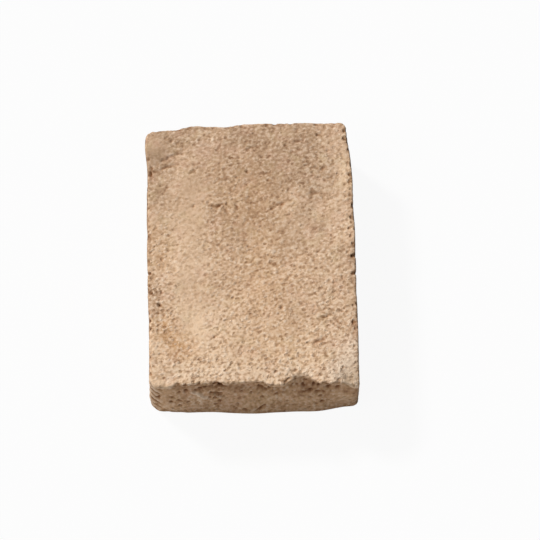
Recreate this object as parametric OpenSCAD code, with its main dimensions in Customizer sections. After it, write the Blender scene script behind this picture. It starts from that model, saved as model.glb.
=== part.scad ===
// Manufactured stone trim: one block of cast concrete, lying on its flat back.
// The face and the sides are cast to look like rough quarried stone, so the
// outline wanders, the arrises are worn and chipped, and the face swells.
// +X is the width, +Y the length and +Z up; the origin is the middle of the back.

/* [Block] */
// Width of the block, left to right
width = 152; // [100:1:305]
// Length of the block, near side to far side
length = 210; // [130:1:406]
// Thickness from the flat back to the mean face
thickness = 55; // [38:1:90]

/* [Edges] */
// Radius of the arris, where the face turns down into the sides
arris_radius = 1.5; // [1:0.5:5]
// Radius of the four upright corners
corner_radius = 6; // [6:0.5:20]

/* [Swells] */
// How far the sides wander in and out
side_wander = 1.1; // [0:0.1:2.5]
// How far the face swells up and down
face_swell = 1.4; // [0:0.1:2.5]
// Distance from one swell to the next
swell_pitch = 34; // [28:1:80]
// How far the ripples on the swells rise and fall
ripple_rise = 0.6; // [0:0.1:1.2]
// Distance from one ripple to the next
ripple_pitch = 16; // [14:1:30]

/* [Lump] */
// Rise of the smooth lump on the left edge, near the far corner
lump_rise = 3; // [0:0.1:5]
// Reach of the lump over the face and down the side
lump_reach = 22; // [16:1:40]
// Depth of the crease that parts the lump from the face
crease_depth = 1.2; // [0:0.1:3]
// Reach of the crease to either side of its line
crease_reach = 8; // [6:0.5:16]

/* [Worn corners] */
// How far the far side falls back towards its left corner
far_left_wear = 4.5; // [0:0.1:8]
// How far the right side falls back towards its far corner
far_right_wear = 4; // [0:0.1:8]
// Reach of the wear at the far corners
far_wear_reach = 50; // [30:1:80]
// How far the near left corner is rubbed in
near_left_wear = 2.1; // [0:0.1:4]
// How far the face drops at the near right corner
near_right_wear = 8; // [0:0.1:9]
// Reach of the wear at the near corners
near_wear_reach = 20; // [16:1:40]
// How far the upright edge of the near right corner stands out
corner_fill = 1.4; // [0:0.1:2.5]
// Reach of that edge to either side
corner_fill_reach = 9; // [8:0.5:16]

/* [Breaks] */
// Depth of the chip in the near arris
chip_depth = 6; // [0:0.1:7]
// Reach of the chip
chip_reach = 12; // [10:0.5:20]
// Distance of the chip from the middle of the near side
chip_offset = 35; // [26:1:40]
// How far the spurs to either side of the chip stand out
spur_rise = 2.2; // [0:0.1:4]
// Reach of a spur
spur_reach = 12; // [8:0.5:16]
// Depth of the notch in the far arris
notch_depth = 2; // [0:0.1:4]
// Reach of the notch
notch_reach = 12; // [8:0.5:16]
// How far the foot is broken back at the near right corner
foot_break = 4; // [0:0.5:10]
// Reach of that break
foot_reach = 36; // [24:1:48]
// How far the foot is drawn in at the near left corner, with the reach of its wear
foot_draw = 3.2; // [0:0.1:4]

/* [Undercut] */
// Depth of the hollow that runs along the near side under the arris
undercut_depth = 1.6; // [0:0.1:3]
// Distance from the face down to the middle of the hollow
undercut_drop = 9; // [8:0.5:14]
// Reach of the hollow above and below its middle
undercut_reach = 8; // [6:0.5:12]

/* [Hidden] */

// Straight facets along a short side, along a long side and round a corner
WIDTH_STEPS = 28;
LENGTH_STEPS = 38;
CORNER_STEPS = 4;
// Rings up the sides, over the arris and in across the face
SIDE_RINGS = 9;
ARRIS_RINGS = 3;
FACE_RINGS = 14;
// The rings start this far under the back, and are then cut off level with it
CUT_ALLOWANCE = 4;
// Picks the repeatable random numbers that shape the swells
SEED = 107;
// The fine swells' size beside the broad ones, and how much closer they lie
FINE_SHARE = 0.5;
FINE_RATE = 2.3;
// Steps through the random field that keep the three directions and the ripples apart
Y_STEP = [17, 5, 11];
Z_STEP = [7, 23, 3];
RIPPLE_STEP = [31, 13, 19];
// Steps between the random numbers of neighbouring lattice points
STRIDES = [73, 151, 283];
// The lump's distance from the far side, and the crease's from the lump, in lump reaches
LUMP_INSET = 0.85;
CREASE_INSET = 0.6;
// Run of the crease across the face, in lump reaches
CREASE_RUN = [1.2, 0.55, 0];
// Directions in which the lump swells and the chip eats in, and in which the corners
// are rubbed in, dropped, filled out, broken off and drawn in
LUMP_LEAN = [-0.35, 0, 0.9];
CHIP_LEAN = [0, 0.95, -0.3];
CORNER_LEAN = [-0.25, 0.95, 0];
SHOULDER_LEAN = [0, -0.3, -0.95];
FILL_LEAN = [0.7, -0.7, 0];
FOOT_LEAN = [0, 1, 0];
DRAW_LEAN = [0.4, 0.9, 0];
// Places of the spurs and the notch, as shares of half the width
SPUR_SHARES = [0.19, 0.74];
NOTCH_SHARE = -0.23;

half_width = width / 2;
half_length = length / 2;
upright = [0, 0, thickness];
at_a_point = [0, 0, 0];
lump_y = half_length - LUMP_INSET * lump_reach;
crease_y = lump_y - CREASE_INSET * lump_reach;
notch_offset = NOTCH_SHARE * half_width;
undercut_end = half_width - near_wear_reach;

// A feature of the block: it moves the surface by "move" on the line that starts
// at "end" and makes the run "run", and its effect fades to nothing at its reach
function feature(end, run, reach, move) = [end, run, reach, move];

FEATURES = [
    // Lump on the left edge, and the crease that runs in from the edge beside it
    feature([-half_width, lump_y, thickness], at_a_point, lump_reach, lump_rise * LUMP_LEAN),
    feature(
        [-half_width, crease_y, thickness],
        lump_reach * CREASE_RUN,
        crease_reach,
        [0, 0, -crease_depth]
    ),
    // Worn corners
    feature([-half_width, half_length, 0], upright, far_wear_reach, [0, -far_left_wear, 0]),
    feature([half_width, half_length, 0], upright, far_wear_reach, [-far_right_wear, 0, 0]),
    feature([-half_width, -half_length, 0], upright, near_wear_reach, near_left_wear * CORNER_LEAN),
    feature(
        [half_width, -half_length, thickness],
        at_a_point,
        near_wear_reach,
        near_right_wear * SHOULDER_LEAN
    ),
    feature([half_width, -half_length, 0], upright, corner_fill_reach, corner_fill * FILL_LEAN),
    // Chip in the near arris, the spurs beside it, and the notch in the far arris
    feature([chip_offset, -half_length, thickness], at_a_point, chip_reach, chip_depth * CHIP_LEAN),
    for (share = SPUR_SHARES)
        feature([share * half_width, -half_length, thickness], at_a_point, spur_reach, [0, -spur_rise, 0]),
    feature([notch_offset, half_length, thickness], at_a_point, notch_reach, [0, -notch_depth, 0]),
    // Broken foot of the near right corner, and the foot drawn in at the near left one
    feature([half_width, -half_length, 0], at_a_point, foot_reach, foot_break * FOOT_LEAN),
    feature([-half_width, -half_length, 0], at_a_point, near_wear_reach, foot_draw * DRAW_LEAN),
    // Hollow under the near arris
    feature(
        [-undercut_end, -half_length, thickness - undercut_drop],
        [2 * undercut_end, 0, 0],
        undercut_reach,
        [0, undercut_depth, 0]
    )
];

// Repeatable random number from -1 to 1 at a whole-numbered lattice point
function lattice(i, j, k) = rands(-1, 1, 1, SEED + STRIDES * [i, j, k])[0];

// Smooth step from 0 to 1, and a plain mix of two values
function ease(t) = t * t * (3 - 2 * t);
function mix(a, b, t) = a + (b - a) * t;

function lattice_row(i, j, k, t) = mix(lattice(i, j, k), lattice(i + 1, j, k), t);
function lattice_layer(i, j, k, t, u) = mix(lattice_row(i, j, k, t), lattice_row(i, j + 1, k, t), u);

// Smooth random field, whose swells are about one unit apart
function field(p) =
    let (
        i = floor(p[0]),
        j = floor(p[1]),
        k = floor(p[2]),
        t = ease(p[0] - i),
        u = ease(p[1] - j)
    )
    mix(lattice_layer(i, j, k, t, u), lattice_layer(i, j, k + 1, t, u), ease(p[2] - k));

// Broad swells with finer ones on them
function swells(p) = field(p) + FINE_SHARE * field(FINE_RATE * p);

// How far p moves in each direction for the fields at q and at the steps from it
function moved(q, sideways, upwards) =
    [sideways * field(q), sideways * field(q + Y_STEP), upwards * field(q + Z_STEP)];

// How strongly a feature acts at p: 1 on its line, 0 from its reach outwards
function strength(f, p) =
    let (
        run = f[1],
        share = (p - f[0]) * run / max(run * run, 1),
        nearest = f[0] + run * min(max(share, 0), 1)
    )
    ease(max(1 - norm(p - nearest) / f[2], 0));

function total(list) = [for (item = list) 1] * list;

// Where a point of the smooth block ends up on the rough one
function roughened(p) =
    let (
        q = p / swell_pitch,
        height_share = max(p[2], 0) / thickness
    )
    p
        + moved(p / ripple_pitch + RIPPLE_STEP, ripple_rise, ripple_rise * height_share)
        + [side_wander * swells(q), side_wander * swells(q + Y_STEP), 0]
        + [0, 0, face_swell * height_share * swells(q + Z_STEP)]
        + total([for (f = FEATURES) f[3] * strength(f, p)]);

// The outline as pairs of a corner-arc centre and the outward direction there.
// Along a straight side the centre moves and the direction stays.
function corner_run(centre, start_angle) =
    [for (s = [0 : CORNER_STEPS])
        let (a = start_angle + 90 * s / CORNER_STEPS)
        [centre, [cos(a), sin(a)]]];
function side_run(from, to, direction, steps) =
    [for (s = [1 : steps - 1]) [mix(from, to, s / steps), direction]];

near_right = [half_width - corner_radius, corner_radius - half_length];
far_right = [half_width - corner_radius, half_length - corner_radius];
OUTLINE = concat(
    corner_run(near_right, -90),
    side_run(near_right, far_right, [1, 0], LENGTH_STEPS),
    corner_run(far_right, 0),
    side_run(far_right, -near_right, [0, 1], WIDTH_STEPS),
    corner_run(-near_right, 90),
    side_run(-near_right, -far_right, [-1, 0], LENGTH_STEPS),
    corner_run(-far_right, 180),
    side_run(-far_right, near_right, [0, -1], WIDTH_STEPS)
);

// The rings from under the back to the middle of the face, each as its inset
// from the outline, its height, and the share of its size that is left
PROFILE = concat(
    [for (s = [0 : SIDE_RINGS - 1])
        [0, mix(-CUT_ALLOWANCE, thickness - arris_radius, s / SIDE_RINGS), 1]],
    [for (s = [0 : ARRIS_RINGS])
        let (a = 90 * s / ARRIS_RINGS)
        [arris_radius * (1 - cos(a)), thickness - arris_radius * (1 - sin(a)), 1]],
    [for (s = [1 : FACE_RINGS - 1]) [arris_radius, thickness, 1 - s / FACE_RINGS]]
);

// The point of a ring that belongs to an outline pair
function ring_point(ring, pair) =
    let (xy = (pair[0] + (corner_radius - ring[0]) * pair[1]) * ring[2])
    [xy[0], xy[1], ring[1]];

module rough_block() {
    around = len(OUTLINE);
    rings = len(PROFILE);
    under_middle = around * rings;
    face_middle = under_middle + 1;
    smooth_points = concat(
        [for (ring = PROFILE, pair = OUTLINE) ring_point(ring, pair)],
        [[0, 0, -CUT_ALLOWANCE], [0, 0, thickness]]
    );
    bands = [for (r = [0 : rings - 2], i = [0 : around - 1])
        let (
            a = r * around + i,
            b = r * around + (i + 1) % around
        )
        each [[a, a + around, b], [b, a + around, b + around]]];
    caps = [for (i = [0 : around - 1])
        let (
            next = (i + 1) % around,
            last = (rings - 1) * around
        )
        each [[i, next, under_middle], [last + next, last + i, face_middle]]];
    polyhedron(points = [for (p = smooth_points) roughened(p)], faces = concat(bands, caps));
}

// The stone: the rough block with its back cut flat at z = 0
module cast_stone() {
    span = 2 * max(width, length);
    color([0.79, 0.66, 0.54])
    difference() {
        rough_block();
        translate([-span / 2, -span / 2, -2 * CUT_ALLOWANCE])
            cube([span, span, 2 * CUT_ALLOWANCE]);
    }
}

cast_stone();
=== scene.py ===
"""Looks of the cast trim stone.

One dense closed mesh is laid over the CAD block. Its broad form comes from the
block itself, and the grain, pits, crevices and ragged arrises are added here.
Lengths in this script are millimetres unless a name says metres.
"""

import itertools
import math

import bmesh
import bpy
import numpy as np
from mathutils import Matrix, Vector
from mathutils.bvhtree import BVHTree


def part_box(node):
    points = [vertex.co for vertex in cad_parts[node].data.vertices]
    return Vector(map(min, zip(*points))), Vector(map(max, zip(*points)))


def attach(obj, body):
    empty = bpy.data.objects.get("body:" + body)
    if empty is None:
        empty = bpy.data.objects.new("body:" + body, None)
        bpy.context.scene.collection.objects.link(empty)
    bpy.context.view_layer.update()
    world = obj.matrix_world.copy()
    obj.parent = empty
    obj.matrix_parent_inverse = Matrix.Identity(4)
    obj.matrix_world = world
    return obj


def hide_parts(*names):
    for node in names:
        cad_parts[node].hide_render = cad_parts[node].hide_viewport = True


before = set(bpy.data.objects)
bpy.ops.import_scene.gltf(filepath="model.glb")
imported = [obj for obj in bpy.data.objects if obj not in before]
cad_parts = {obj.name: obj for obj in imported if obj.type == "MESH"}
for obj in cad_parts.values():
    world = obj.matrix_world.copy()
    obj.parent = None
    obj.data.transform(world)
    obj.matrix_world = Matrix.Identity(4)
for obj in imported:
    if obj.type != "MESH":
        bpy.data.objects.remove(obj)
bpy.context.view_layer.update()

NODE = "cast_stone"
METRES = 0.001
LOW, HIGH = (np.array(corner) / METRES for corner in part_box(NODE))
SPAN = HIGH - LOW

# ---------------------------------------------------------------- camera

# The camera looks down on the near side through a long lens
VIEW_ELEVATION = 64.72
VIEW_TURN = -1.2
VIEW_DISTANCE = 3000
LENS = 273.5
# Point of the face that the middle of the picture shows
AIM = (13.3, -15.1, 53.6)
CAMERA_SIGHT_METRES = 100


def direction(turn, elevation):
    """Unit vector that points to the far side, turned to the left and raised."""
    turn, elevation = math.radians(turn), math.radians(elevation)
    level = math.cos(elevation)
    return Vector((-math.sin(turn) * level, math.cos(turn) * level, math.sin(elevation)))


def make_camera():
    back = direction(180 + VIEW_TURN, VIEW_ELEVATION)
    data = bpy.data.cameras.new("camera")
    data.lens = LENS
    data.clip_end = CAMERA_SIGHT_METRES
    camera = bpy.data.objects.new("camera", data)
    camera.location = (Vector(AIM) + back * VIEW_DISTANCE) * METRES
    camera.rotation_euler = (-back).to_track_quat("-Z", "Y").to_euler()
    bpy.context.scene.collection.objects.link(camera)
    bpy.context.scene.camera = camera


# ---------------------------------------------------------------- random fields

# Large odd numbers and shifts that mix up the bits of a cell's place and of a seed
PLACE_FACTORS = np.array([374761393, 668265263, 2246822519], np.uint64)
SEED_FACTOR = 3266489917
MIXING = [(15, 2654435761), (13, 1597334677)]
LAST_SHIFT = 16
KEPT_BITS = 0xFFFFFF
# Brings the noise to about -1 to 1
NOISE_GAIN = 1.6
# How round the scattered spots are: 1 for a paraboloid, and more for a narrower tip
SPOT_POWER = 1.5
# Keeps a division off zero
TINY = 1e-9
# Seeds of the random fields. Spots have theirs in their own lines.
SEEDS = {
    "rumple": 1,
    "grain": 11,
    "breaks": 60,
    "painted_shade_and_dirt": 62,
    "wander": 71,
    "force": 90,
    "strata": 95,
    "rust": 97,
}


def cell_random(cells, seed):
    """A repeatable random number from 0 to 1 for each whole-numbered cell."""
    mixed = (cells.astype(np.uint64) * PLACE_FACTORS).sum(axis=-1) + np.uint64(seed * SEED_FACTOR)
    for shift, factor in MIXING:
        mixed = (mixed ^ (mixed >> np.uint64(shift))) * np.uint64(factor)
    mixed ^= mixed >> np.uint64(LAST_SHIFT)
    return (mixed & np.uint64(KEPT_BITS)).astype(float) / (KEPT_BITS + 1)


def cell_vector(cells, seed):
    """Three such numbers for each cell, from -1 to 1."""
    return np.stack([2 * cell_random(cells, seed + axis) - 1 for axis in range(3)], axis=-1)


def noise(points, pitch, seed):
    """Smooth gradient noise from about -1 to 1, its swells about one pitch apart."""
    scaled = points / pitch
    base = np.floor(scaled)
    local = scaled - base
    fade = local ** 3 * (local * (6 * local - 15) + 10)
    total = np.zeros(len(points))
    for corner in itertools.product((0, 1), repeat=3):
        corner = np.array(corner)
        slope = cell_vector((base + corner).astype(np.int64), seed)
        slope /= np.linalg.norm(slope, axis=-1, keepdims=True) + TINY
        weight = np.where(corner, fade, 1 - fade).prod(axis=-1)
        total += weight * ((local - corner) * slope).sum(axis=-1)
    return NOISE_GAIN * total


def spots(points, pitch, seed, radii, chance, stretch):
    """Scattered round or stretched spots: 1 in the middle of one, 0 outside.

    There is at most one spot to a cell of the given pitch. Its radius lies between
    the two given, and chance is the share of the cells that have one.
    """
    cell = np.floor(points / pitch)
    best = np.zeros(len(points))
    for step in itertools.product((-1, 0, 1), repeat=3):
        home = (cell + np.array(step)).astype(np.int64)
        offset = points - (home + 0.5 + 0.5 * cell_vector(home, seed)) * pitch
        along = cell_vector(home, seed + 10)
        along /= np.linalg.norm(along, axis=-1, keepdims=True) + TINY
        lengthwise = (offset * along).sum(axis=-1)
        squared = (offset ** 2).sum(axis=-1) - (1 - stretch ** -2) * lengthwise ** 2
        size = radii[0] + (radii[1] - radii[0]) * cell_random(home, seed + 20)
        dome = np.clip(1 - squared / size ** 2, 0, 1) ** SPOT_POWER
        best = np.maximum(best, dome * (cell_random(home, seed + 30) < chance))
    return best


def scattered(points, kinds):
    """Height of several kinds of spots, each given as spots takes it and then its height."""
    return sum(height * spots(points, *kind) for *kind, height in kinds)


def ease(share):
    """Rounds off a share that runs from 0 to 1, and holds it there beyond them."""
    share = np.clip(share, 0, 1)
    return share * share * (3 - 2 * share)


def rising(values, start, end):
    """0 up to the start, 1 from the end on, and a smooth rise between them."""
    return ease((values - start) / (end - start))


def closeness(points, start, end, reach):
    """1 on the line from start to end, fading to 0 at its reach. In two or three dimensions."""
    start, run = np.array(start, float), np.subtract(end, start).astype(float)
    share = np.clip(((points - start) @ run) / max(run @ run, TINY), 0, 1)
    distance = np.linalg.norm(points - start - share[:, None] * run, axis=-1)
    return ease(1 - distance / reach)


def patches(points, lines):
    """Sum of soft patches, each along a line: its two ends, its reach and its strength."""
    return sum(strength * closeness(points, *line) for *line, strength in lines)


def dimples(points, holes):
    """Sum of round hollows, each given as its place, its radius and its depth."""
    return sum(depth * closeness(points, place, place, radius) for place, radius, depth in holes)


def nearest(points, lines):
    """Closeness to the nearest of several lines, each given as its two ends and its reach."""
    return np.max([closeness(points, *line) for line in lines], axis=0)


# ---------------------------------------------------------------- lattice

# Cells of the lattice across the width, along the length and up the sides.
# The first two are multiples of COARSE, the fine cells to one cell of the back.
CELLS_X = 192
CELLS_Y = 258
CELLS_Z = 44
COARSE = 3
# Edges of the block with a sharper turn than this stay sharp, in radians
CREASE_ANGLE = 0.4
# Points of the block that are this close are one, in metres
WELD_METRES = 1e-6
# Depth under the faces of the core from which the surface is looked up, and the least
# height above the floor from which it is
CORE_DEPTH = 14
CORE_LIFT = 0.2
# Width of the sheet that the flat pattern is laid out on, and the gap between its parts
SHEET = 378
SHEET_GAP = 3


def smooth_block():
    """The CAD block as a search tree, with its facets smoothed out."""
    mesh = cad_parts[NODE].data.copy()
    shape = bmesh.new()
    shape.from_mesh(mesh)
    bmesh.ops.remove_doubles(shape, verts=shape.verts, dist=WELD_METRES)
    crease = shape.edges.layers.float.new("crease_edge")
    for edge in shape.edges:
        at_back = all(end.co.z < WELD_METRES for end in edge.verts)
        edge[crease] = at_back or edge.calc_face_angle(0) > CREASE_ANGLE
    shape.to_mesh(mesh)
    shape.free()
    block = bpy.data.objects.new("smooth_block", mesh)
    bpy.context.scene.collection.objects.link(block)
    rounding = block.modifiers.new("rounding", "SUBSURF")
    rounding.levels = 2
    tree = BVHTree.FromObject(block, bpy.context.evaluated_depsgraph_get())
    bpy.data.objects.remove(block)
    bpy.data.meshes.remove(mesh)
    return tree


def sheet_place(part, u, v):
    """Where a point of a part of the flat pattern lies on the sheet."""
    across, along, up = SPAN + SHEET_GAP
    if part == "right":
        u, v = v, u
    x, y = {
        "top": (0, 0),
        "back": (across, 0),
        "right": (2 * across, 0),
        "left": (0, along),
        "near": (along, along),
        "far": (0, along + up),
    }[part]
    return (x + u + SHEET_GAP / 2) / SHEET, (y + v + SHEET_GAP / 2) / SHEET


class Lattice:
    """A closed box lattice: its corner points, its faces and their flat pattern."""

    def __init__(self):
        self.xs = np.linspace(0, SPAN[0], CELLS_X + 1)
        self.ys = np.linspace(0, SPAN[1], CELLS_Y + 1)
        self.zs = np.linspace(0, HIGH[2], CELLS_Z + 1)
        self.points = []
        self.faces = []
        self.pattern = []
        self.top = self.add_top()
        self.rings = self.add_rings()
        self.add_sides()
        self.add_back()
        self.points = np.array(self.points)

    def add_point(self, i, j, k):
        self.points.append((LOW[0] + self.xs[i], LOW[1] + self.ys[j], self.zs[k]))
        return len(self.points) - 1

    def add_face(self, corners, part, flat):
        self.faces.append(corners)
        self.pattern.extend(sheet_place(part, u, v) for u, v in flat)

    def add_flat_face(self, corners, points, part):
        """Adds a face of the top or the back, from its corners' places in the lattice."""
        flat = [(self.xs[i], self.ys[j]) for i, j in corners]
        self.add_face([points[c] for c in corners], part, flat)

    def add_top(self):
        top = {}
        for i, j in itertools.product(range(CELLS_X + 1), range(CELLS_Y + 1)):
            top[i, j] = self.add_point(i, j, CELLS_Z)
        for i, j in itertools.product(range(CELLS_X), range(CELLS_Y)):
            self.add_flat_face([(i, j), (i + 1, j), (i + 1, j + 1), (i, j + 1)], top, "top")
        return top

    def add_rings(self):
        """The corner points of each level of the sides, anticlockwise from the near left."""
        across, along = range(CELLS_X), range(CELLS_Y)
        self.outline = [(i, 0) for i in across]
        self.outline += [(CELLS_X, j) for j in along]
        self.outline += [(CELLS_X - i, CELLS_Y) for i in across]
        self.outline += [(0, CELLS_Y - j) for j in along]
        levels = [{c: self.add_point(*c, k) for c in self.outline} for k in range(CELLS_Z)]
        return levels + [self.top]

    def add_sides(self):
        """The four sides, in the order of the outline."""
        start = 0
        for part, places in (("near", self.xs), ("right", self.ys), ("far", self.xs), ("left", self.ys)):
            for step, k in itertools.product(range(len(places) - 1), range(CELLS_Z)):
                a = self.outline[start + step]
                b = self.outline[(start + step + 1) % len(self.outline)]
                corners = [(a, k), (b, k), (b, k + 1), (a, k + 1)]
                shifts = [step, step + 1, step + 1, step]
                flat = [(places[s], self.zs[level]) for s, (_, level) in zip(shifts, corners)]
                self.add_face([self.rings[level][c] for c, level in corners], part, flat)
            start += len(places) - 1

    def add_back(self):
        """The back has coarser cells, and takes in every point of the sides' lowest ring."""
        back = dict(self.rings[0])
        for i in range(COARSE, CELLS_X, COARSE):
            for j in range(COARSE, CELLS_Y, COARSE):
                back[i, j] = self.add_point(i, j, 0)
        for i, j in itertools.product(range(0, CELLS_X, COARSE), range(0, CELLS_Y, COARSE)):
            steps = range(COARSE)
            walk = [(i, j + s) for s in steps]
            walk += [(i + s, j + COARSE) for s in steps]
            walk += [(i + COARSE, j + COARSE - s) for s in steps]
            walk += [(i + COARSE - s, j) for s in steps]
            self.add_flat_face([c for c in walk if c in back], back, "back")


def lay_on_block(points):
    """Moves lattice points onto the block. Returns them and their outward directions."""
    tree = smooth_block()
    inner_low = np.array([LOW[0] + CORE_DEPTH, LOW[1] + CORE_DEPTH, 0])
    core = np.clip(points, inner_low, HIGH - CORE_DEPTH)
    out = points - core
    # 1 on the lattice's sides and face, and less for points of the back within its rim
    share = np.abs(out).max(axis=-1) / CORE_DEPTH
    outward = out / np.maximum(np.linalg.norm(out, axis=-1), TINY)[:, None]
    placed = points.copy()
    for n in np.flatnonzero(share > 0):
        start = Vector((core[n][0], core[n][1], max(core[n][2], CORE_LIFT))) * METRES
        distance = tree.ray_cast(start, Vector(outward[n]))[3]
        placed[n] = core[n] + outward[n] * share[n] * distance / METRES
    outward[(points[:, 2] == 0) & (share < 1)] = (0, 0, -1)
    return placed, outward


# ---------------------------------------------------------------- relief

# The marks wander off their lines this far, in swells of this pitch
WANDER = 0.9
WANDER_PITCH = 6
# Middle layer of the grain: its pitch and its height
RUMPLE = (7, 0.1)
# Fine layer of the grain, the same way, and how its lows and its highs are drawn out
GRAIN = (3.6, 0.13)
GRAIN_LOWS = 1.5
GRAIN_HIGHS = 0.8
# Scattered pits and bumps, each as pitch, seed, radii, share of the cells, stretch and height
SCATTER = [
    (2.8, 200, (0.8, 1.4), 0.6, 1.3, -0.5),
    (3.2, 250, (0.9, 1.4), 0.5, 1.2, 0.3),
]
# The grain is drawn out on the face, along a line turned this far from the width,
# and more so up the sides
GRAIN_TURN = 22
GRAIN_STRETCH = (1.2, 1, 1.9)
# Where the grain is fainter or stronger: ends in X and Y, reach and change
FORCES = [
    ((-72, 86), (-70, 92), 18, -0.5),
    ((-70, 72), (-68, 30), 20, -0.25),
    ((-45, 50), (-44, -62), 20, -0.45),
    ((56, -40), (60, -72), 22, 0.4),
    ((-70, -30), (-66, -60), 14, 0.3),
    ((-70, -100), (70, -100), 24, 0.35),
    ((-60, -80), (60, -80), 80, 0.14),
    ((66, -98), (73, -90), 12, -0.35),
    ((-76, -102), (-70, -106), 12, -0.6),
    ((-60, 90), (60, 50), 75, -0.12),
]
# Slow change of its strength besides: pitch and amount
FORCE_SWELL = (30, 0.2)
# Strength of the grain on the sides
SIDE_FORCE = 0.75
# Strength there of the speckle that only the colour has
SIDE_SPECKLE = 0.82
# Room under the CAD box in which bumps are pressed together rather than cut off
ROOM = 0.4
# Height over which the relief sets in above the flat back
FOOT = 1.5
# Upward share of the surface's own normal over which a side turns into the face, the
# nearward share over which another side turns into the near side, and the share along
# the width over which a side turns into the right or the left one
FACE_TURN = (0.4, 0.7)
NEAR_TURN = (0.3, 0.7)
END_TURN = (0.5, 0.8)
# Nearward share of the outward direction over which the near side begins
NEARWARD = (0.1, 0.4)
# Where the marks break off: pitch, level and gain of the noise
BREAKS = (3.2, 0.4, 1.5)

# Least share of a groove's depth, of a crevice's and of the strata's, and what is added
# to it where they don't break off
GROOVE_DEPTHS = (0.5, 0.5)
CREVICE_DEPTHS = (0.6, 0.4)
STRATA_DEPTHS = (0.6, 0.5)

# Grooves across the face: ends in X and Y, reach and depth
FACE_GROOVES = [
    ((-75, 64), (-71, 67.5), 1.8, 0.7),
    ((-71, 67.5), (-66, 68), 1.9, 1.2),
    ((-65, 70), (-60, 71), 2.1, 1.3),
    ((-58, 71), (-56, 71.5), 1.7, 1.1),
    ((-74, 71.5), (-72.5, 70), 1.7, 1.2),
    ((-65, 76), (-61, 76.5), 1.8, 1.0),
    ((-60, 78.5), (-56, 79.5), 1.9, 1.2),
    ((-53, 81), (-49, 80.5), 1.7, 1.0),
    ((-50, 76), (-46, 76.5), 1.6, 1.0),
    ((-44, 65), (-41, 66.5), 1.9, 1.3),
    ((-70.5, 40), (-68.5, 39.5), 1.7, 1.0),
    ((-31, 38), (-25, 37), 2.0, 1.2),
    ((-25, 37), (-20, 39), 1.8, 1.2),
    ((-28, 35), (-25, 33.5), 1.6, 1.0),
    ((-20, 36), (-17, 32), 2.0, 1.4),
    ((-17, 39), (-15.5, 37), 1.8, 1.2),
    ((-11, 39), (-9, 36.5), 1.7, 1.2),
    ((-1, 84), (5, 86.5), 1.7, 1.1),
    ((8, 63), (13, 62.5), 1.7, 1.0),
    ((26.5, 85), (28.5, 87.5), 1.7, 1.2),
    ((34, 88), (40, 89.5), 1.6, 1.0),
    ((51, 94.5), (53.5, 96), 1.7, 1.0),
    ((41, 69.5), (46, 69.7), 1.5, 1.0),
    ((53, 66), (56, 68.5), 1.7, 1.2),
    ((45, 46.5), (50, 47.5), 1.7, 1.0),
    ((20, 37.5), (24, 38.5), 1.6, 1.0),
    ((51, -55), (55, -53.5), 1.9, 1.2),
    ((57, -52), (60, -53), 1.8, 1.2),
    ((62.5, -50.5), (65, -50), 1.8, 1.0),
    ((45, -74.5), (48.5, -73), 1.9, 1.2),
    ((50, -72), (52, -73.5), 1.7, 1.0),
    ((63, -61), (66, -59.5), 1.8, 1.1),
    ((22, -106), (25.5, -102.5), 1.8, 1.5),
]
# Round holes in the face: place in X and Y, radius and depth
FACE_HOLES = [
    ((-68, -42.5), 2.4, 2.4),
    ((-74, -32), 2.2, 1.6),
    ((-75, -17), 1.8, 1.4),
    ((-66, -32.5), 1.6, 1.0),
    ((-61.5, -34), 1.6, 1.0),
    ((-75, -55), 2.2, 1.6),
    ((-74.5, -60.5), 2.0, 1.4),
    ((-69, -49), 1.7, 1.2),
    ((-61.5, -52.5), 1.6, 1.0),
    ((-58.5, -50.5), 1.6, 1.0),
    ((-66, -6), 1.6, 1.0),
    ((-61, 2), 1.6, 1.0),
    ((-28.5, -68), 1.9, 1.4),
    ((21, -46), 1.9, 1.6),
    ((-2, 64.5), 1.9, 1.5),
    ((-2.5, 54), 1.5, 1.0),
    ((-10, 60.5), 1.6, 1.1),
    ((-31, 40.5), 1.6, 1.2),
    ((-42, 37.5), 1.6, 1.0),
    ((-24, 83), 1.6, 1.0),
    ((-8, 76.5), 1.8, 1.2),
    ((-62, 94), 1.8, 1.0),
    ((-57.5, 92), 1.6, 1.0),
    ((9, 76.5), 1.8, 1.3),
    ((13.5, 57), 1.6, 1.2),
    ((40, 72.5), 1.5, 1.1),
    ((58.5, 58), 1.5, 1.0),
    ((58, 81), 1.5, 1.0),
    ((72.5, 17.5), 1.7, 1.4),
    ((73.5, 11), 1.7, 1.4),
    ((74.5, 4.5), 1.8, 1.5),
    ((74.5, -5.5), 2.2, 1.8),
    ((71, -2.5), 1.5, 1.1),
    ((73.5, -19.5), 2.0, 1.6),
    ((66.5, -23), 1.6, 1.1),
]
# Pebbles that show in the face: place in X and Y, and radius
PEBBLES = [
    ((15.6, 0), 2.2),
    ((16.5, -18), 1.6),
    ((-69, -40), 1.8),
    ((-38.5, 91.5), 1.5),
    ((-27, 92.5), 1.2),
    ((52, 43), 1.3),
    ((70.5, 40.5), 1.2),
]
PEBBLE_RISE = 0.4
# Patches of the face painted paler as painted light, on the worn near right corner, which faces away from
# the key light, and as a painted highlight along the near arris: ends in X and Y, reach and strength
PAINTED_LIGHT_PATCHES = [
    ((60, -99), (73, -80), 15, 0.95),
    ((-60, -98), (40, -98), 9, 0.2),
]
# How much narrower the marks of the near side are than they are high
NEAR_SQUASH = np.array((1, 0.62))
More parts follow.
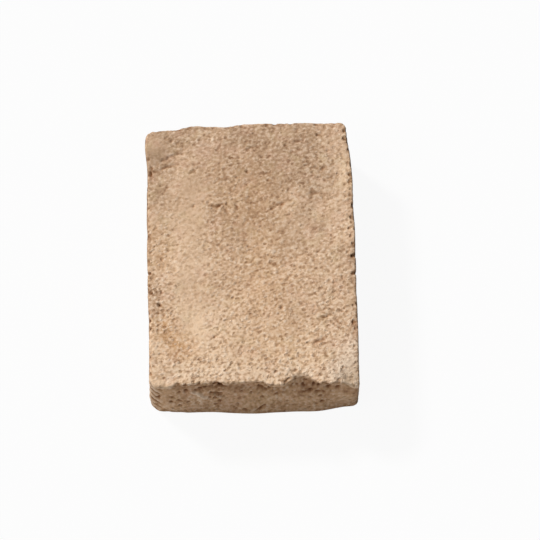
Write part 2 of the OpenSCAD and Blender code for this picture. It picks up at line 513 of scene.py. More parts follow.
# Crevices in the near side: ends in X and Z, reach and depth
NEAR_CREVICES = [
    ((-32, 49), (-31, 47), 2.0, 1.4),
    ((-26, 51), (-25, 49), 2.0, 3.0),
    ((-25, 49), (-21.5, 46), 2.0, 3.2),
    ((-31.5, 37), (-28.5, 36), 1.8, 2.6),
    ((-27.5, 36), (-24.5, 35), 2.2, 4.2),
    ((0, 50.5), (3, 50), 1.8, 1.6),
    ((3.5, 44.5), (8, 41), 2.0, 2.6),
    ((16, 49), (20, 49), 1.6, 1.2),
    ((30, 28), (35, 28), 1.2, 1.0),
    ((28, 13), (33, 13), 1.2, 0.8),
    ((35.5, 35.5), (39, 38.5), 1.7, 2.0),
    ((44.5, 37.5), (47, 38), 1.6, 2.0),
    ((65.5, 51.5), (71, 45), 1.8, 1.6),
    ((2, 5.5), (8, 13.5), 1.8, 2.2),
]
# Holes in the near side: place in X and Z, radius and depth
NEAR_HOLES = [
    ((-71, 14), 1.8, 1.8),
    ((-69.5, 29.5), 1.9, 2.4),
    ((-60.5, 21), 2.2, 2.8),
    ((-59, 30), 2.0, 1.5),
    ((-55.5, 25), 1.9, 1.4),
    ((-54.5, 39), 1.8, 1.6),
    ((-54, 15), 1.9, 1.6),
    ((-50, 41), 2.3, 3.0),
    ((-48, 22), 1.9, 1.8),
    ((-42.5, 41.5), 1.8, 1.8),
    ((-39, 43.5), 2.0, 2.4),
    ((-36, 46.5), 2.0, 2.4),
    ((-32.5, 31), 1.7, 1.3),
    ((-28.5, 28.5), 2.2, 3.2),
    ((-25.5, 22.5), 1.9, 1.8),
    ((-13.5, 8.5), 1.6, 1.2),
    ((-9, 37), 1.9, 1.6),
    ((-7.5, 6.5), 2.1, 2.2),
    ((-7, 26.5), 1.7, 1.2),
    ((-2, 35.5), 2.0, 2.0),
    ((3.5, 34), 1.6, 1.2),
    ((5.5, 27.5), 1.8, 1.6),
    ((11, 43.5), 2.0, 2.4),
    ((16.5, 33), 2.1, 2.0),
    ((21.5, 9.5), 1.6, 1.1),
    ((25, 19.5), 1.7, 1.2),
    ((35, 45), 1.9, 1.4),
    ((41, 39.5), 2.3, 3.2),
    ((41.5, 26.5), 1.8, 1.4),
    ((43.5, 47), 2.0, 2.2),
    ((45.5, 14.5), 1.9, 1.6),
    ((47, 46.5), 2.1, 2.6),
    ((48.5, 30), 1.8, 2.0),
    ((49.5, 18.5), 2.2, 2.8),
    ((49.5, 37), 1.8, 1.6),
    ((53.5, 44), 2.0, 1.8),
    ((60.5, 44.5), 2.1, 2.2),
]
# Stray pits of the sides, as pitch, seed, radii, share of the cells, stretch and depth
SIDE_PITS = [(7, 80, (1.1, 2.0), 0.22, 1.0, 0.9)]
# The pitted belt under the near arris: ends in X and Z, and reach, and its pits as above
BELT = ((-66, 48), (70, 46), 11)
BELT_PITS = [(3.6, 170, (1.0, 1.8), 0.45, 1.3, 1.6)]
# Teeth broken out of every arris: upward share of the outward direction at the arris and
# how far from it they reach, and the teeth as above
ARRIS = 0.707
ARRIS_REACH = 0.12
TEETH = [
    (6, 120, (1.4, 3.0), 0.6, 1.4, 1.8),
    (3.4, 150, (1.0, 1.8), 0.6, 1.3, 1.5),
]
# Nicks in the near arris: place in X, reach and depth, and how deep in the side and how
# high they lie
NICK_INSET = 1.8
NICK_HEIGHT = 52.5
NEAR_NICKS = [
    (-56.5, 3.0, 2.0),
    (-53, 2.4, 1.0),
    (-49.5, 3.2, 2.0),
    (-44.5, 2.6, 1.4),
    (-41, 3.0, 2.0),
    (-37.5, 2.6, 1.5),
    (-29, 3.2, 2.4),
    (-25.5, 3.2, 2.6),
    (1.5, 3.0, 1.4),
    (6, 3.0, 1.4),
    (47, 2.8, 1.6),
    (53.5, 2.6, 1.2),
    (60, 2.8, 1.4),
]
# Dark bands on the near side, painted shade under its arris and along its foot, and darker patches besides:
# ends in X and Z, reach and strength
NEAR_SHADE_BANDS = [
    ((-60, 47), (-32, 45), 6, 0.7),
    ((-32, 46), (-14, 45), 8, 0.7),
    ((-14, 41), (36, 39), 11, 0.6),
    ((38, 46), (70, 42), 13, 0.75),
    ((14, 34), (50, 32), 9, 0.3),
    ((73.5, 44), (76, 8), 4, 0.7),
    ((-66, 1), (70, 1), 5, 0.5),
]
# Pitch of the unevenness of these bands and of the darkening along the other arrises, its level and its
# amount
SHADE_AND_DIRT_SWELL = (5, 0.8, 0.2)
# Strength of the darkening along the other three arrises, the upward share of the outward
# direction that it keeps to and how far it reaches, and the nearward share where it ends
RIM_DARKENING = 0.6
RIM = 0.66
RIM_REACH = 0.16
RIM_END = 0.2
# Notches in those arrises, which run on down the sides as upright grooves: place in X
# and Y, reach and depth
RIM_NOTCHES = [
    ((71, 98), 2.2, 1.8),
    ((70.5, 91), 2.2, 1.8),
    ((-76.5, 57), 1.8, 1.0),
    ((-76.5, 52), 1.8, 1.0),
    ((-77, 43), 1.8, 1.0),
    ((-75.5, -17), 2.0, 2.0),
    ((-74, -32), 2.2, 2.0),
    ((-75.5, -54.5), 2.0, 2.0),
    ((-75.5, -61), 2.0, 2.0),
    ((76, -5), 2.4, 1.2),
    ((76, -19), 2.4, 1.2),
]
# The worn near right corner, where fewer teeth are broken out: ends in X and Y, and reach,
# the upward share of the outward direction over which it begins, and the share worn off
WORN_CORNER = ((62, -100), (70, -98), 14)
WORN_TURN = (0.2, 0.5)
WORN_TEETH = 0.8
# Ridges on the near side, raised and painted pale as a painted highlight: ends in X and Z, and reach
NEAR_RIDGES = [
    ((-44.5, 39.5), (-41, 37.5), 2.6),
    ((-41, 37.5), (-37.5, 31.5), 2.6),
    ((-37.5, 31), (-35, 30), 2.6),
    ((-28, 35), (-25, 32.5), 2.6),
]
RIDGE_RISE = 1.4
RIDGE_PAINTED_HIGHLIGHT = 0.85
# The broken-out heart of the chip in the near arris: ends and reach, and depth
CHIP = ((34, LOW[1] + 2, 56), (41, LOW[1] + 2, 56), 9)
CHIP_DEPTH = 1.8
# Tongues of the face over the two near corners: ends in X and Z, and reach
TONGUES = [
    ((-71, 53.5), (-65, 54.5), 4.5),
    ((68.5, 52.5), (73.5, 47), 5),
]
# Small pushes of the outline: ends, reach and push in X and Y
PUSHES = [
    ((-70, -106, 52), (-34, -106, 52), 8, (0, -1.4)),
    ((-71, -104, 52), (-63, -106, 52), 7, (0, -2.0)),
    ((-20.5, -105, 53), (-19.5, -105, 53), 4, (0, -1.5)),
    ((-13, -106, 52), (6, -106, 52), 8, (0, -0.5)),
    ((14, -106, 52), (19, -106, 52), 7, (0, -2.8)),
    ((48, -105, 54), (54, -105, 54), 6, (0, -1.2)),
    ((-69.5, -103, 1), (-67.5, -104, 1), 6, (0, -0.9)),
    ((-63, -105, 1), (-55, -106, 1), 8, (0, 1.0)),
    ((-77, -96, 16), (-75, -99, 6), 9, (0.2, 0)),
    ((76, 20, 50), (77, -80, 50), 14, (0.35, 0)),
    ((-42, 103, 50), (-39, 103, 50), 8, (0, 1.5)),
    ((-65, 98, 50), (-60, 98, 50), 7, (0, -0.9)),
]
# Strata on the near left corner: spacing up the corner, slope along the width, depth,
# reach from the corner, and pitch of their unevenness
STRATA_PITCH = 8.8
STRATA_SLOPE = 0.95
STRATA_DEPTH = 0.9
STRATA_REACH = 14.5
STRATA_WANDER_PITCH = 9
# Gains that flatten the tops of the pebbles, the ridges, the tongues and the strata
PEBBLE_TOPS = 2
RIDGE_TOPS = 1.8
TONGUE_TOPS = 2
STRATA_TOPS = 1.7
# How much cuts show as darker hollows, partly pigment settled in them and partly painted shade, and the
# grain as painted shade in its lows and painted highlight on its bumps; and how much the strata show as
# painted shade in their grooves and painted light on their ridges
CUT_SHADE = 0.8
GRAIN_SHADE = 1.1
STRATA_PAINTED_SHADE = 1.5
STRATA_PAINTED_LIGHT = 0.7


def along_grain(points):
    """The points in a frame in which the grain is as long as it is wide."""
    turn = math.radians(GRAIN_TURN)
    x = points[:, 0] * math.cos(turn) + points[:, 1] * math.sin(turn)
    y = points[:, 1] * math.cos(turn) - points[:, 0] * math.sin(turn)
    return np.stack([x, y, points[:, 2]], axis=-1) / GRAIN_STRETCH


def pushed(points):
    """The points with the pushes of the outline added."""
    shift = np.zeros_like(points)
    for *line, push in PUSHES:
        shift[:, :2] += closeness(points, *line)[:, None] * push
    return points + shift


class Surface:
    """The placed points, and how far each belongs to the face, the near side and so on."""

    def __init__(self, points, outward, normals):
        wander = [noise(points, WANDER_PITCH, SEEDS["wander"] + axis) for axis in range(3)]
        self.points = points
        self.outward = outward
        self.bent = points + WANDER * np.stack(wander, axis=-1)
        self.plan = self.bent[:, :2]
        self.side = self.bent[:, [0, 2]]
        self.nearward = rising(-outward[:, 1], *NEARWARD)
        tongues = sum(closeness(self.side, *tongue) for tongue in TONGUES)
        tongues = ease(TONGUE_TOPS * self.nearward * tongues)
        self.face = np.maximum(rising(normals[:, 2], *FACE_TURN), tongues)
        self.near = rising(-normals[:, 1], *NEAR_TURN) * (1 - self.face)
        self.worn = closeness(self.plan, *WORN_CORNER) * rising(outward[:, 2], *WORN_TURN)
        # The ends get painted shade in the colour, though not at the worn corner
        self.end = rising(np.abs(normals[:, 0]), *END_TURN) * (1 - self.face) * (1 - self.worn)
        pitch, level, gain = BREAKS
        self.whole = ease(level + gain * noise(self.bent, pitch, SEEDS["breaks"]))


def relief(surface):
    """Height of the relief over the block, and the marks that the material reads."""
    force = force_of(surface)
    fine = force * fine_grain(surface.bent)
    cuts = all_cuts(surface)
    banding = strata(surface)
    pebbles = [(place, place, radius) for place, radius in PEBBLES]
    pebbles = surface.face * ease(PEBBLE_TOPS * nearest(surface.plan, pebbles))
    ridges = surface.near * ease(RIDGE_TOPS * nearest(surface.side, NEAR_RIDGES))

    pitch, rise = RUMPLE
    height = rise * noise(surface.bent, pitch, SEEDS["rumple"]) + fine - cuts
    height -= CHIP_DEPTH * closeness(surface.bent, *CHIP)
    height += RIDGE_RISE * ridges + STRATA_DEPTH * banding + PEBBLE_RISE * pebbles
    height *= np.clip(surface.points[:, 2] / FOOT, 0, 1)

    # Darker: painted shade under the near arris and along the foot, darkening along the other arrises, and
    # painted shade in the strata's grooves
    painted_shade_and_dirt = painted_shade_and_dirt_of(surface) + STRATA_PAINTED_SHADE * np.maximum(-banding, 0)
    # Pale pebbles, and painted light: highlight on the near ridges and lit patches of the face, and on the
    # strata's ridges
    pale_and_painted_light = RIDGE_PAINTED_HIGHLIGHT * ridges + pebbles + surface.face * patches(surface.plan, PAINTED_LIGHT_PATCHES)
    # Painted light on the strata's ridges
    pale_and_painted_light += STRATA_PAINTED_LIGHT * np.maximum(banding, 0)
    marks = {
        # Darker in cuts, in the grain's lows and in the strata's grooves, partly pigment and partly painted
        # shade; paler on bumps and on the strata's ridges as painted highlight
        "hollow": np.clip(CUT_SHADE * cuts - GRAIN_SHADE * fine - banding, -1, 1),
        "force": force * (SIDE_SPECKLE + (1 - SIDE_SPECKLE) * surface.face),
        # The sides, which get painted shade in the colour
        "side": 1 - surface.face,
        "end": surface.end,
        "painted_shade_and_dirt": np.clip(painted_shade_and_dirt, 0, 1),
        "pale_and_painted_light": np.clip(pale_and_painted_light, 0, 1),
    }
    return height, marks


def force_of(surface):
    """How strong the grain is, about 1."""
    pitch, amount = FORCE_SWELL
    force = 1 + patches(surface.plan, FORCES) + amount * noise(surface.points, pitch, SEEDS["force"])
    return force * (SIDE_FORCE + (1 - SIDE_FORCE) * surface.face)


def fine_grain(points):
    """Height of the fine grain, with its lows drawn down into pits."""
    drawn = along_grain(points)
    pitch, rise = GRAIN
    swells = noise(drawn, pitch, SEEDS["grain"])
    swells *= np.where(swells < 0, GRAIN_LOWS, GRAIN_HIGHS)
    return rise * swells + scattered(drawn, SCATTER)


def all_cuts(surface):
    """Depth of the grooves, crevices, holes, nicks, teeth and pits."""
    bent = surface.bent
    cuts = surface.face * face_cuts(surface) + surface.near * near_cuts(surface)
    cuts += (1 - surface.face) * scattered(bent, SIDE_PITS)
    arris = ease(1 - np.abs(surface.outward[:, 2] - ARRIS) / ARRIS_REACH)
    cuts += arris * (1 - WORN_TEETH * surface.worn) * scattered(bent, TEETH)
    nicks = [((x, LOW[1] + NICK_INSET, NICK_HEIGHT), reach, depth) for x, reach, depth in NEAR_NICKS]
    return cuts + dimples(surface.plan, RIM_NOTCHES) + dimples(bent, nicks)


def face_cuts(surface):
    """Depth of the grooves and the holes of the face."""
    least, more = GROOVE_DEPTHS
    grooves = (least + more * surface.whole) * patches(surface.plan, FACE_GROOVES)
    return grooves + dimples(surface.plan, FACE_HOLES)


def near_cuts(surface):
    """Depth of the crevices and the holes of the near side, and of the pits of its belt."""
    squashed = surface.side * NEAR_SQUASH
    crevices = [(start * NEAR_SQUASH, end * NEAR_SQUASH, *rest) for start, end, *rest in NEAR_CREVICES]
    holes = [(place * NEAR_SQUASH, *rest) for place, *rest in NEAR_HOLES]
    least, more = CREVICE_DEPTHS
    cuts = (least + more * surface.whole) * patches(squashed, crevices) + dimples(squashed, holes)
    belt = closeness(surface.side, *BELT)
    return cuts + belt * scattered(surface.bent * (1, 1, NEAR_SQUASH[1]), BELT_PITS)


def strata(surface):
    """The layers that show on the near left corner: 1 on a ridge and -1 in a groove."""
    points = surface.points
    corner = ease(STRATA_TOPS * closeness(points[:, :2], LOW[:2], LOW[:2], STRATA_REACH))
    level = points[:, 2] + STRATA_SLOPE * (points[:, 0] - LOW[0])
    wander = noise(points, STRATA_WANDER_PITCH, SEEDS["strata"])
    least, more = STRATA_DEPTHS
    depth = corner * (1 - surface.face) * (least + more * surface.whole)
    return depth * np.sin(2 * np.pi * level / STRATA_PITCH + wander)


def painted_shade_and_dirt_of(surface):
    """The dark bands of the near side, painted shade under its arris and along its foot, and the darkening
    along the other arrises.
    """
    painted_shade_and_dirt = surface.nearward * (1 - surface.face) * patches(surface.side, NEAR_SHADE_BANDS)
    rim = ease(1 - np.abs(surface.outward[:, 2] - RIM) / RIM_REACH)
    rim *= 1 - rising(-surface.outward[:, 1], 0, RIM_END)
    pitch, level, amount = SHADE_AND_DIRT_SWELL
    uneven = level + amount * noise(surface.bent, pitch, SEEDS["painted_shade_and_dirt"])
    return uneven * (painted_shade_and_dirt + RIM_DARKENING * rim * surface.whole)


def pressed(values, limit):
    """Values pressed together towards a limit, so that none goes past it."""
    over = np.maximum(values - (limit - ROOM), 0)
    return values - over + ROOM * (1 - np.exp(-over / ROOM))


def inside_box(points):
    """The points pressed back into the box of the CAD block."""
    points = pressed(points, HIGH)
    points[:, :2] = -pressed(-points[:, :2], -LOW[:2])
    points[:, 2] = np.maximum(points[:, 2], 0)
    return points


# ---------------------------------------------------------------- colour

# How much paler the near end of the face is than its far end, as a tone from -1 to 1
TONE_FALL = 0.6
# Paler and browner patches of the stone: ends in X and Y, reach and change of tone
TONES = [
    ((-44, 30), (-38, -30), 34, 0.35),
    ((15, 40), (20, 60), 50, -0.25),
    ((-10, 82), (25, 84), 34, -0.45),
    ((66, 20), (66, 100), 26, 0.4),
    # Painted light: paler at the worn near right corner, which faces away from the key light
    ((70, -98), (70, -98), 22, 0.5),
    ((72, -20), (70, -70), 28, -0.4),
    ((-44, -64), (-20, -66), 26, 0.25),
    ((-72, -30), (-70, -62), 11, -0.6),
    ((77, 55), (77, -85), 9, -0.2),
    ((-25, 26), (-25, -32), 18, -0.55),
    ((0, -60), (20, -60), 24, -0.25),
    ((2, 30), (4, 30), 22, -0.3),
    ((-45, -30), (-42, -34), 20, -0.3),
    ((-68, 4), (-70, 24), 12, 0.35),
    ((69, 70), (69, 60), 12, 0.3),
    ((-66, 78), (-70, 84), 14, -0.2),
    ((2, 50), (12, 50), 13, -0.65),
    ((-69, 64), (-68, 48), 13, -0.35),
    ((25, 88), (24, 60), 15, -0.2),
    ((48, 67), (50, 58), 14, 0.4),
    ((61, 94), (60, 62), 10, -0.25),
    ((74, 62), (74, -34), 9, 0.3),
    ((37, 5), (37, 3), 10, -0.4),
    ((-10, 96), (-11, 72), 11, -0.35),
    ((-12, -86), (18, -86), 11, 0.25),
    ((48, -76), (46, -72), 11, -0.3),
    ((-70, -76), (-68, -78), 9, 0.6),
    ((73, 64), (73, 46), 9, 0.35),
    ((-34, 97), (-20, 97), 9, 0.4),
    ((37, 97), (39, 95), 7, 0.4),
    ((25, 96), (25, 94), 7, -0.3),
    ((48, -7), (48, -7), 9, 0.35),
    ((25, -52), (25, -52), 9, 0.35),
    ((-69, 30), (-68, 27), 9, -0.35),
    ((48, 16), (61, 16), 9, -0.35),
    ((-57, 60), (-57, 72), 9, -0.25),
    ((-45, -99), (-45, -95), 8, -0.25),
    ((-22, 72), (-30, 62), 9, 0.35),
    ((73, 64), (73, 58), 8, 0.6),
    ((60, -7), (60, -7), 9, 0.3),
    ((25, 20), (25, -14), 8, -0.25),
    ((-69, -52), (-69, -55), 8, -0.3),
    ((-45, -75), (-45, -86), 9, 0.35),
    ((2, -86), (13, -86), 10, 0.6),
    ((-69, -88), (-68, -86), 9, 0.35),
    ((-33, 4), (-33, 14), 9, 0.3),
    ((13, -18), (13, -18), 9, -0.35),
    ((-9, 95), (-9, 86), 8, -0.25),
    ((25, 97), (25, 94), 8, -0.35),
    ((2, 62), (2, 50), 9, -0.25),
    ((48, -99), (48, -97), 8, -0.3),
]
# The orange stain at the left edge, and its pitch, level and unevenness
RUST_STAIN = [((-64, -62), (-52, -76), 17, 0.9)]
RUST_SWELL = (6, 0.8, 0.6)
# Faint tinges of the same orange: ends in X and Y, reach and strength
RUST_TINGES = [
    ((-70, 16), (-66, -8), 13, 0.35),
    ((-2, 50), (14, -72), 46, 0.3),
]


def tone_of(points):
    """How pale the stone is, from -1 for brown to 1 for cream."""
    return patches(points[:, :2], TONES) - TONE_FALL * points[:, 1] / HIGH[1]


def rust_of(points):
    """How much of the orange stain there is, from 0 to 1."""
    pitch, level, amount = RUST_SWELL
    uneven = level + amount * noise(points, pitch, SEEDS["rust"])
    plan = points[:, :2]
    return np.clip(uneven * patches(plan, RUST_STAIN) + patches(plan, RUST_TINGES), 0, 1)


# ---------------------------------------------------------------- mesh


def stone_mesh():
    """The lattice laid on the block, with the relief and its marks."""
    lattice = Lattice()
    placed, outward = lay_on_block(lattice.points)
    placed = pushed(placed)
    mesh = bpy.data.meshes.new("trim_stone")
    mesh.from_pydata((placed * METRES).tolist(), [], lattice.faces)
    normals = np.zeros(placed.size)
    mesh.vertex_normals.foreach_get("vector", normals)
    height, marks = relief(Surface(placed, outward, normals.reshape(-1, 3)))
    final = inside_box(placed + outward * height[:, None])
    mesh.vertices.foreach_set("co", (final * METRES).astype(np.float32).ravel())
    mesh.update()
    mesh.polygons.foreach_set("use_smooth", [True] * len(mesh.polygons))
    marks["tone"] = tone_of(placed)
    marks["rust"] = rust_of(placed)
    for name, values in marks.items():
        attribute = mesh.attributes.new(name, "FLOAT", "POINT")
        attribute.data.foreach_set("value", values.astype(np.float32))
    pattern = mesh.uv_layers.new(name="OFBake")
    pattern.uv.foreach_set("vector", np.array(lattice.pattern, np.float32).ravel())
    return mesh


def make_stone():
    mesh = stone_mesh()
    mesh.materials.append(stone_material())
    stone = bpy.data.objects.new("trim_stone", mesh)
    bpy.context.scene.collection.objects.link(stone)
    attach(stone, "root")
    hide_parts(NODE)


# ---------------------------------------------------------------- material

# Linear colours of the stone
BROWN_SAND = (0.50, 0.325, 0.202, 1)
SAND = (0.70, 0.475, 0.306, 1)
CREAM = (0.86, 0.615, 0.407, 1)
ROSE = (0.76, 0.475, 0.34, 1)
OLIVE = (0.67, 0.51, 0.29, 1)
RUST = (0.66, 0.39, 0.20, 1)
# Pale grain, and painted light: highlight on bumps and ridges, and lit patches
BLEACH_AND_PAINTED_LIGHT = (0.92, 0.72, 0.54, 1)
# Tints that the colour is multiplied by. The first darkens pits, holes, hollows and dark bands, partly as
# stain and partly as painted shade; the other two are painted shade, which makes the sides darker and
# browner and the ends darker still
STAIN_AND_PAINTED_SHADE = (0.46, 0.34, 0.24, 1)
PAINTED_SIDE_SHADE = (0.82, 0.73, 0.64, 1)
PAINTED_END_SHADE = (0.70, 0.70, 0.72, 1)
# The range that the noise of a cloud mostly keeps to
CLOUD_RANGE = (0.3, 0.7)
# Tones of the brownest stone, of the palest, and of stone on which the specks are full
BROWNEST = -0.8
PALEST = 0.8
FULL_SPECKS = 0.5
# Blotches of the tone: pitch, detail and amount
BLOTCHES = (34, 1.5, 0.35)
# Clouds of a tinge: its colour, their pitch, the noise where they start and end, and strength
TINGES = [
    (ROSE, 12.4, 0.52, 0.72, 0.28),
    (OLIVE, 11.3, 0.54, 0.74, 0.28),
]
# Finest clouds of the grain: pitch and detail
CLOUDS = (2.1, 1.5)
# Dark pits, larger dark holes and pale specks of the grain: pitch, size and shift
PITS = (3.05, 0.52, 0.0)
HOLES = (6.4, 0.26, 1.0)
SPECKS = (2.6, 0.5, 2.0)
# How far the dots are bent out of round, in metres, and how wide their soft rim is
DOT_BEND_METRES = 0.0015
DOT_RIM = 0.2
# Share of the full size that the smallest dots have, and the random values that stand for
# the smallest and the full size
SMALLEST_DOT = 0.1
DOT_RANGE = (0.2, 0.8)
# Strength of the specks on the brownest stone
DIM_SPECKS = 0.55
# How pale clouds and specks are and how strong the painted highlight on bumps is, and how dark clouds, pits
# and holes are, the hollows with pigment and painted shade, and the dark bands with painted shade and dirt
CLOUD_BLEACH = 0.54
SPECK_BLEACH = 0.64
BUMP_PAINTED_HIGHLIGHT = 0.6
CLOUD_STAIN = 0.51
HOLLOW_STAIN_AND_SHADE = 0.97
PIT_STAIN = 0.52
HOLE_STAIN = 0.45
SHADE_AND_DIRT_STAIN = 0.6
# Grit that only the light shows: pitch, detail, height in metres and strength
GRIT = (0.9, 3.0, 0.0003, 0.6)
# Height in metres of the specks and the pits
SPECK_METRES = 0.0002
ROUGHNESS = 0.9
SPECULAR = 0.2


def add(tree, kind, inputs=None, **settings):
    """Adds a node, sets its properties, and sets or links its inputs."""
    made = tree.nodes.new(kind)
    for name, value in settings.items():
        setattr(made, name, value)
    for name, value in (inputs or {}).items():
        if isinstance(value, bpy.types.NodeSocket):
            tree.links.new(value, made.inputs[name])
        else:
            made.inputs[name].default_value = value
    return made


def mix(tree, share, a, b, blend="MIX"):
    return add(tree, "ShaderNodeMix", {0: share, 6: a, 7: b}, data_type="RGBA", blend_type=blend).outputs[2]


def maths(tree, operation, a, b):
    return add(tree, "ShaderNodeMath", {0: a, 1: b}, operation=operation).outputs[0]


def spread(tree, value, start, end, low=0.0, high=1.0):
    """A value from start to end, spread over low to high."""
    inputs = {"Value": value, "From Min": start, "From Max": end, "To Min": low, "To Max": high}
    return add(tree, "ShaderNodeMapRange", inputs).outputs[0]


def cloud(tree, place, pitch, detail=1.0):
    """Noise with swells about one pitch apart, given in millimetres."""
    inputs = {"Vector": place, "Scale": 1 / (pitch * METRES), "Detail": detail}
    return add(tree, "ShaderNodeTexNoise", inputs).outputs["Fac"]


def dots_of(tree, place, pitch, size, shift):
    """Scattered round dots of uneven size: 1 inside one, 0 outside. The size is in pitches."""
    scale = 1 / (pitch * METRES)
    bend = add(tree, "ShaderNodeTexNoise", {"Vector": place, "Scale": scale}).outputs["Color"]
    bent = {0: DOT_BEND_METRES, 4: place, 5: bend}
    bent = add(tree, "ShaderNodeMix", bent, data_type="VECTOR").outputs[1]
    moved = add(tree, "ShaderNodeVectorMath", {0: bent, 1: (shift, shift, shift)}).outputs[0]
    cells = add(tree, "ShaderNodeTexVoronoi", {"Vector": moved, "Scale": scale}).outputs
    limit = spread(tree, cells["Color"], *DOT_RANGE, SMALLEST_DOT * size, size)
    return spread(tree, maths(tree, "SUBTRACT", limit, cells["Distance"]), 0.0, DOT_RIM)


def reading(tree, name):
    return add(tree, "ShaderNodeAttribute", attribute_name=name).outputs["Fac"]


def ground_colour(tree, place, tone):
    """The stone's colour without its grain, with painted shade on its sides and its ends."""
    colour = mix(tree, spread(tree, tone, BROWNEST, 0.0), BROWN_SAND, SAND)
    colour = mix(tree, spread(tree, tone, 0.0, PALEST), colour, CREAM)
    for tinge, pitch, start, end, strength in TINGES:
        share = spread(tree, cloud(tree, place, pitch), start, end, 0.0, strength)
        colour = mix(tree, share, colour, tinge)
    colour = mix(tree, reading(tree, "rust"), colour, RUST)
    # Painted shade: the sides darker and browner, and the ends darker still
    colour = mix(tree, reading(tree, "side"), colour, PAINTED_SIDE_SHADE, "MULTIPLY")
    return mix(tree, reading(tree, "end"), colour, PAINTED_END_SHADE, "MULTIPLY")


def rough_normal(tree, place, level):
    """The surface's normal with the grit and the dots of the grain."""
    pitch, detail, height, strength = GRIT
    grit = {"Height": cloud(tree, place, pitch, detail), "Distance": height, "Strength": strength}
    gritty = add(tree, "ShaderNodeBump", grit).outputs[0]
    dots = {"Height": level, "Distance": SPECK_METRES, "Normal": gritty}
    return add(tree, "ShaderNodeBump", dots).outputs["Normal"]


def stone_material():
    material = bpy.data.materials.new("cast_concrete")
    material.use_nodes = True
    tree = material.node_tree
    tree.nodes.clear()
    place = add(tree, "ShaderNodeTexCoord").outputs["Object"]
    pitch, detail, amount = BLOTCHES
    blotches = spread(tree, cloud(tree, place, pitch, detail), *CLOUD_RANGE, -amount, amount)
    tone = maths(tree, "ADD", reading(tree, "tone"), blotches)
    colour = ground_colour(tree, place, tone)

    inputs = {"Vector": place, "Rotation": (0, 0, math.radians(GRAIN_TURN)), "Scale": GRAIN_STRETCH}
    drawn = add(tree, "ShaderNodeMapping", inputs, vector_type="TEXTURE").outputs[0]
    force = reading(tree, "force")
    hollow = reading(tree, "hollow")
    clouds = spread(tree, cloud(tree, drawn, *CLOUDS), *CLOUD_RANGE, -1.0, 1.0)
    clouds = maths(tree, "MULTIPLY", force, clouds)
    pits = maths(tree, "MULTIPLY", force, dots_of(tree, drawn, *PITS))
    holes = dots_of(tree, drawn, *HOLES)
    specks = maths(tree, "MULTIPLY", force, dots_of(tree, drawn, *SPECKS))
    glint = spread(tree, tone, BROWNEST, FULL_SPECKS, DIM_SPECKS, 1.0)
    specks = maths(tree, "MULTIPLY", specks, glint)
    # Paler: clouds and specks of the grain, painted highlight on bumps, and pale pebbles with painted light
    # on ridges and lit patches
    for share in (
        spread(tree, clouds, 0.0, 1.0, 0.0, CLOUD_BLEACH),
        spread(tree, specks, 0.0, 1.0, 0.0, SPECK_BLEACH),
        spread(tree, hollow, 0.0, -1.0, 0.0, BUMP_PAINTED_HIGHLIGHT),
        reading(tree, "pale_and_painted_light"),
    ):
        colour = mix(tree, share, colour, BLEACH_AND_PAINTED_LIGHT)
    # Darker: clouds, pits and holes of the grain, and hollows and dark bands, partly stain and partly
    # painted shade
    for share in (
        spread(tree, clouds, 0.0, -1.0, 0.0, CLOUD_STAIN),
        spread(tree, hollow, 0.0, 1.0, 0.0, HOLLOW_STAIN_AND_SHADE),
        spread(tree, pits, 0.0, 1.0, 0.0, PIT_STAIN),
        spread(tree, holes, 0.0, 1.0, 0.0, HOLE_STAIN),
        spread(tree, reading(tree, "painted_shade_and_dirt"), 0.0, 1.0, 0.0, SHADE_AND_DIRT_STAIN),
    ):
        colour = mix(tree, share, colour, STAIN_AND_PAINTED_SHADE, "MULTIPLY")

    inputs = {
        "Base Color": colour,
        "Roughness": ROUGHNESS,
        "Specular IOR Level": SPECULAR,
        "Normal": rough_normal(tree, place, maths(tree, "SUBTRACT", specks, pits)),
    }
    shader = add(tree, "ShaderNodeBsdfPrincipled", inputs)
    add(tree, "ShaderNodeOutputMaterial", {"Surface": shader.outputs[0]})
    return material


# ---------------------------------------------------------------- studio

# The key light stands over the far left, and the fill light over the near left.
# Each as its turn, its elevation, its strength and its spread.
KEY = (50, 42, 2.75, 10)
FILL = (120, 50, 0.7, 40)
SKY_STRENGTH = 0.2
FLOOR_REACH_METRES = 20
FLOOR_PAINT = (0.72, 0.72, 0.72, 1)
FLOOR_GLOW = 0.93


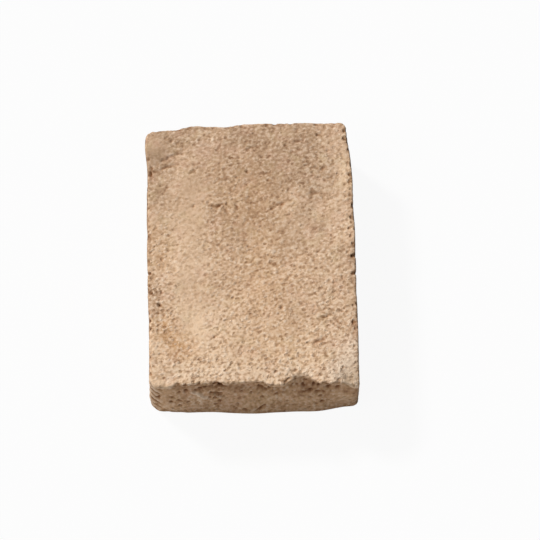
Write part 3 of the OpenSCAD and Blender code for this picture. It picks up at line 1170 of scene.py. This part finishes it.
def make_floor():
    mesh = bpy.data.meshes.new("floor")
    reach = FLOOR_REACH_METRES
    corners = [(-reach, -reach, 0), (reach, -reach, 0), (reach, reach, 0), (-reach, reach, 0)]
    mesh.from_pydata(corners, [], [(0, 1, 2, 3)])
    floor = bpy.data.objects.new("floor", mesh)
    bpy.context.scene.collection.objects.link(floor)
    material = bpy.data.materials.new("floor")
    material.use_nodes = True
    tree = material.node_tree
    tree.nodes.clear()
    share = spread(tree, seen_directly(tree), 0, 1, 0, FLOOR_GLOW)
    paint = add(tree, "ShaderNodeBsdfDiffuse", {"Color": FLOOR_PAINT}).outputs[0]
    white = add(tree, "ShaderNodeEmission", {"Strength": 1.0}).outputs[0]
    both = add(tree, "ShaderNodeMixShader", {0: share, 1: paint, 2: white}).outputs[0]
    add(tree, "ShaderNodeOutputMaterial", {"Surface": both})
    mesh.materials.append(material)


def seen_directly(tree):
    """1 for rays from the camera, straight or by way of a reflection or a clear surface."""
    rays = add(tree, "ShaderNodeLightPath").outputs
    seen = maths(tree, "MAXIMUM", rays["Is Camera Ray"], rays["Is Glossy Ray"])
    return maths(tree, "MAXIMUM", seen, rays["Is Transmission Ray"])


def make_light(name, turn, elevation, strength, spread_angle):
    data = bpy.data.lights.new(name, "SUN")
    data.energy = strength
    data.angle = math.radians(spread_angle)
    light = bpy.data.objects.new(name, data)
    light.rotation_euler = (-direction(turn, elevation)).to_track_quat("-Z", "Y").to_euler()
    bpy.context.scene.collection.objects.link(light)


def make_sky():
    world = bpy.data.worlds.new("studio")
    bpy.context.scene.world = world
    world.use_nodes = True
    tree = world.node_tree
    tree.nodes.clear()
    strength = spread(tree, seen_directly(tree), 0, 1, SKY_STRENGTH, 1.0)
    sky = add(tree, "ShaderNodeBackground", {"Strength": strength}).outputs[0]
    add(tree, "ShaderNodeOutputWorld", {"Surface": sky})


bpy.context.scene.view_settings.view_transform = "Standard"
make_camera()
make_light("key", *KEY)
make_light("fill", *FILL)
make_sky()
make_floor()
make_stone()
